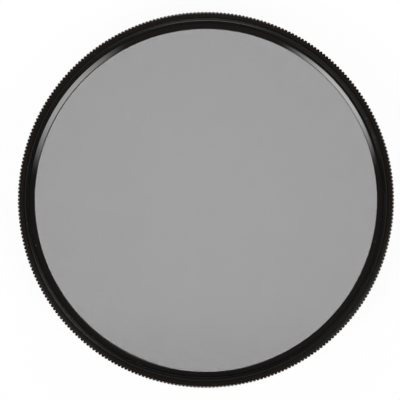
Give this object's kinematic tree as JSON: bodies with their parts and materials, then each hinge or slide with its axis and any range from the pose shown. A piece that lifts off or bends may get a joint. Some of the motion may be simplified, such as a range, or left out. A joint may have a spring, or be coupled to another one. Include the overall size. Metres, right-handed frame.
{
  "type": "circular polarizing filter",
  "caption": "Round screw-in lens filter: a knurled front ring with a grey polarizing glass turns in a threaded mount ring.",
  "frame": {"origin": "on the axis, at the rear end of the lens thread, which is what the filter lies on", "axes": "+Z along the axis, out of the front of the filter, away from the lens; +X and +Y lie in the plane of the glass"},
  "size_m": [0.0806, 0.0806, 0.0083],
  "materials": {
    "anodised_ring": "black anodised, fine turned, low gloss",
    "anodised_retainer": "black anodised, matte",
    "spring_steel": "bright drawn spring wire",
    "optical_glass": "polished, coated",
    "polarizing_film": "grey see-through film",
    "retarder_film": "clear film"
  },
  "bodies": {
    "mount": {"mount_ring": "anodised_ring", "spring_wire": "spring_steel"},
    "front": {"front_ring": "anodised_ring", "front_glass": "optical_glass", "polarizer_film": "polarizing_film", "quarter_wave_film": "retarder_film", "rear_glass": "optical_glass", "glass_retainer": "anodised_retainer"}
  },
  "joints": [
    {"name": "front_turn", "type": "hinge", "parent": "mount", "child": "front", "pos_m": [0, 0, 0.0037], "axis": [0, 0, 1], "continuous": true}
  ]
}
